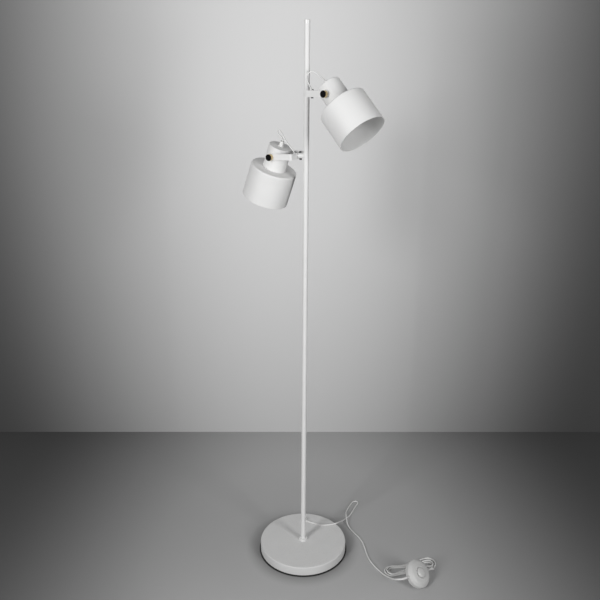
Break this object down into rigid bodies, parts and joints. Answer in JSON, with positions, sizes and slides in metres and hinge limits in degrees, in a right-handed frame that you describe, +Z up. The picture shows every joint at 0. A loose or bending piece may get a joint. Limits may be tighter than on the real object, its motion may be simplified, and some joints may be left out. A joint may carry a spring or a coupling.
{
  "type": "floor lamp",
  "caption": "White floor lamp with a round foot, a straight pole and adjustable spot heads on yoke brackets, with a flex, foot switch and flat plug.",
  "frame": {"origin": "centre of the round foot's underside, on the floor", "axes": "+Z up along the pole; +X is the mean direction of the upper head's stub, the lower head's stub points to -X"},
  "size_m": [0.5656, 0.4229, 1.5],
  "materials": {
    "white_paint": "satin powder coat",
    "black_pad": "matt",
    "cast_weight": "cast concrete",
    "steel": "zinc plated",
    "brass": "polished",
    "black_screw": "black oxide",
    "white_plastic": "smooth",
    "nylon": "moulded",
    "flex": "smooth sheath",
    "bulb_glass": "frosted",
    "bulb_metal": "rolled thread",
    "pin_metal": "nickel plated"
  },
  "bodies": {
    "stand": {"base_cover": "white_paint", "base_weight": "cast_weight", "base_pad": "black_pad", "clamp_rod": "steel", "base_nut": "steel", "base_washer": "steel", "pole_collar": "white_paint", "foot_insert": "steel", "lower_tube": "white_paint", "tube_joiner": "steel", "upper_tube": "white_paint", "top_cap": "white_plastic", "cord_boot": "white_plastic", "upper_socket": "white_paint", "lower_socket": "white_paint", "upper_clamp_screws": "black_screw", "lower_clamp_screws": "black_screw", "floor_cord": "flex", "outlet_cord": "flex", "cord_hank": "flex", "switch_base": "white_plastic", "switch_cover": "white_plastic", "switch_nozzles": "white_plastic", "switch_spring": "steel", "switch_screws": "steel", "plug_body": "white_plastic", "plug_pins": "pin_metal"},
    "upper_bracket": {"upper_yoke": "white_paint", "upper_swivel_tube": "steel", "upper_swivel_nut": "steel", "upper_knob_washers": "nylon", "upper_head_lead": "flex"},
    "upper_head": {"upper_neck": "white_paint", "upper_shade": "white_paint", "upper_lampholder": "nylon", "upper_holder_ring": "nylon", "upper_bulb_cap": "bulb_metal", "upper_bulb_glass": "bulb_glass", "upper_cord_grip": "nylon", "upper_grip_nut": "nylon", "upper_pivot_inserts": "steel"},
    "upper_left_knob": {"upper_left_knob": "brass"},
    "upper_right_knob": {"upper_right_knob": "brass"},
    "lower_bracket": {"lower_yoke": "white_paint", "lower_swivel_tube": "steel", "lower_swivel_nut": "steel", "lower_knob_washers": "nylon", "lower_head_lead": "flex"},
    "lower_head": {"lower_neck": "white_paint", "lower_shade": "white_paint", "lower_lampholder": "nylon", "lower_holder_ring": "nylon", "lower_bulb_cap": "bulb_metal", "lower_bulb_glass": "bulb_glass", "lower_cord_grip": "nylon", "lower_grip_nut": "nylon", "lower_pivot_inserts": "steel"},
    "lower_left_knob": {"lower_left_knob": "brass"},
    "lower_right_knob": {"lower_right_knob": "brass"},
    "switch_button": {"switch_button": "white_plastic"}
  },
  "joints": [
    {"name": "upper_swivel", "type": "hinge", "parent": "stand", "child": "upper_bracket", "pos_m": [0.02233, -0.00152, 1.33298], "axis": [0.9967, -0.068, 0.0436], "range_deg": [-170, 170]},
    {"name": "upper_tilt", "type": "hinge", "parent": "upper_bracket", "child": "upper_head", "pos_m": [0.08403, -0.00573, 1.33568], "axis": [0.0706, 0.9955, -0.0627], "range_deg": [-136.2, 43.8], "deforming": ["upper_head_lead"]},
    {"name": "upper_left_knob_turn", "type": "hinge", "parent": "upper_bracket", "child": "upper_left_knob", "pos_m": [0.08678, 0.0331, 1.33323], "axis": [0.0706, 0.9955, -0.0627], "range_deg": [-180, 180]},
    {"name": "upper_right_knob_turn", "type": "hinge", "parent": "upper_bracket", "child": "upper_right_knob", "pos_m": [0.08127, -0.04455, 1.33812], "axis": [-0.0706, -0.9955, 0.0627], "range_deg": [-180, 180]},
    {"name": "lower_swivel", "type": "hinge", "parent": "stand", "child": "lower_bracket", "pos_m": [-0.02227, -0.00152, 1.18109], "axis": [-0.994, -0.0678, -0.0854], "range_deg": [-170, 170]},
    {"name": "lower_tilt", "type": "hinge", "parent": "lower_bracket", "child": "lower_head", "pos_m": [-0.0838, -0.00571, 1.1758], "axis": [0.068, -0.9977, 0], "range_deg": [-155, 25], "deforming": ["lower_head_lead"]},
    {"name": "lower_left_knob_turn", "type": "hinge", "parent": "lower_bracket", "child": "lower_left_knob", "pos_m": [-0.08114, -0.04462, 1.1758], "axis": [0.068, -0.9977, 0], "range_deg": [-180, 180]},
    {"name": "lower_right_knob_turn", "type": "hinge", "parent": "lower_bracket", "child": "lower_right_knob", "pos_m": [-0.08645, 0.0332, 1.1758], "axis": [-0.068, 0.9977, 0], "range_deg": [-180, 180]},
    {"name": "switch_press", "type": "slide", "parent": "stand", "child": "switch_button", "axis": [-0.7178, 0.0464, -0.6947], "range_m": [0, 0.003], "stiffness_N_per_m": 800, "springref_m": -0.001, "deforming": ["switch_spring"]}
  ]
}
